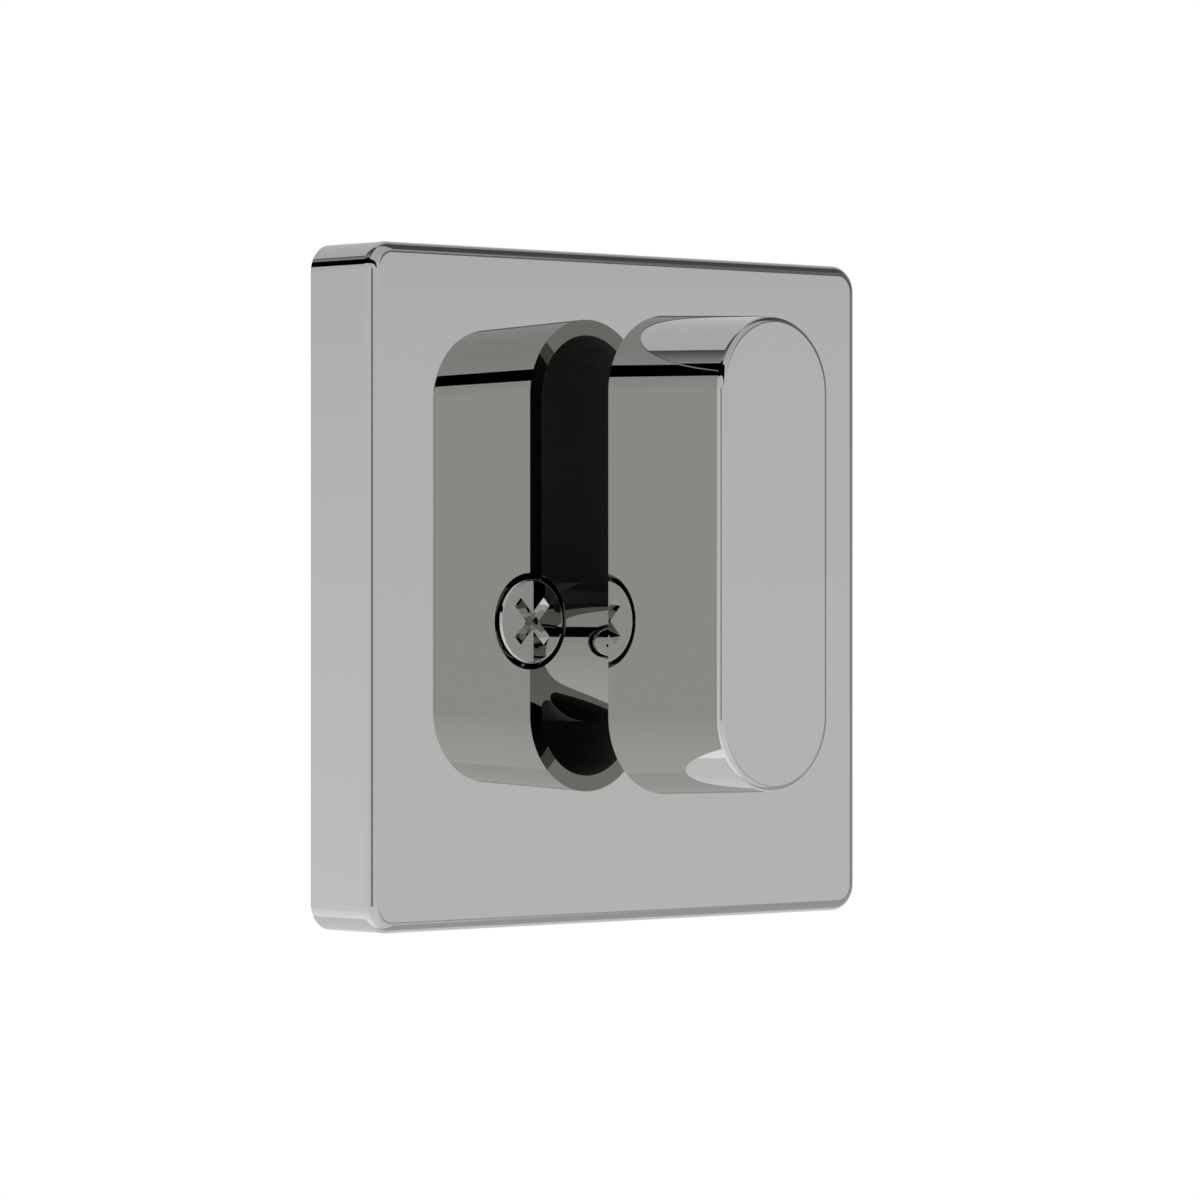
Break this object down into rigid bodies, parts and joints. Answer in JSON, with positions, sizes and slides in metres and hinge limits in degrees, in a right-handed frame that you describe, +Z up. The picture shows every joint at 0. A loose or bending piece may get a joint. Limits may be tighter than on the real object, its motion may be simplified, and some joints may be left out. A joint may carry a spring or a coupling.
{
  "type": "deadbolt lock",
  "caption": "Square chrome rose with an oblong thumbturn that throws a deadbolt through a forked cam in a tubular bolt case.",
  "frame": {"origin": "centre of the door's cross bore on the room face of the door, midway between the two through screws", "axes": "+Y into the door, +X to the door's edge and the bolt's throw, +Z up; the thumbturn stands out towards -Y"},
  "size_m": [0.0988, 0.0725, 0.0762],
  "materials": {
    "bright_chrome": "bright chrome plate on cast zinc, mirror polished",
    "chrome_steel": "bright chrome plate on steel",
    "zinc_plated_steel": "pressed steel, bright zinc plated",
    "spring_steel": "blued spring steel",
    "hard_steel": "ground hardened steel",
    "sintered_steel": "sintered steel, oiled",
    "acetal": "moulded acetal, natural white"
  },
  "bodies": {
    "lock_body": {"rose": "bright_chrome", "through_screws": "chrome_steel", "spindle_bush": "acetal", "spring_washer": "spring_steel", "case_plate_near": "zinc_plated_steel", "case_plate_far": "zinc_plated_steel", "case_rivets": "zinc_plated_steel", "tube_guide": "sintered_steel", "bolt_tube": "zinc_plated_steel", "faceplate_backing": "zinc_plated_steel", "faceplate": "chrome_steel"},
    "turn": {"thumbturn": "bright_chrome", "thrust_washer": "zinc_plated_steel", "retaining_clip": "spring_steel", "tailpiece": "zinc_plated_steel", "tailpiece_pin": "hard_steel", "cam_hub": "sintered_steel"},
    "bolt": {"bolt": "chrome_steel", "hardened_rod": "hard_steel", "bolt_tail": "zinc_plated_steel", "drive_stud": "hard_steel", "tail_pin": "hard_steel"}
  },
  "joints": [
    {"name": "turn_hinge", "type": "hinge", "parent": "lock_body", "child": "turn", "pos_m": [0, 0, -0.0036], "axis": [0, 1, 0], "range_deg": [0, 90]},
    {"name": "bolt_slide", "type": "slide", "parent": "lock_body", "child": "bolt", "axis": [1, 0, 0], "range_m": [0, 0.0254]}
  ],
  "couplings": [
    {"joint": "bolt_slide", "follows": "turn_hinge", "m_per_rad": 0.01617}
  ]
}
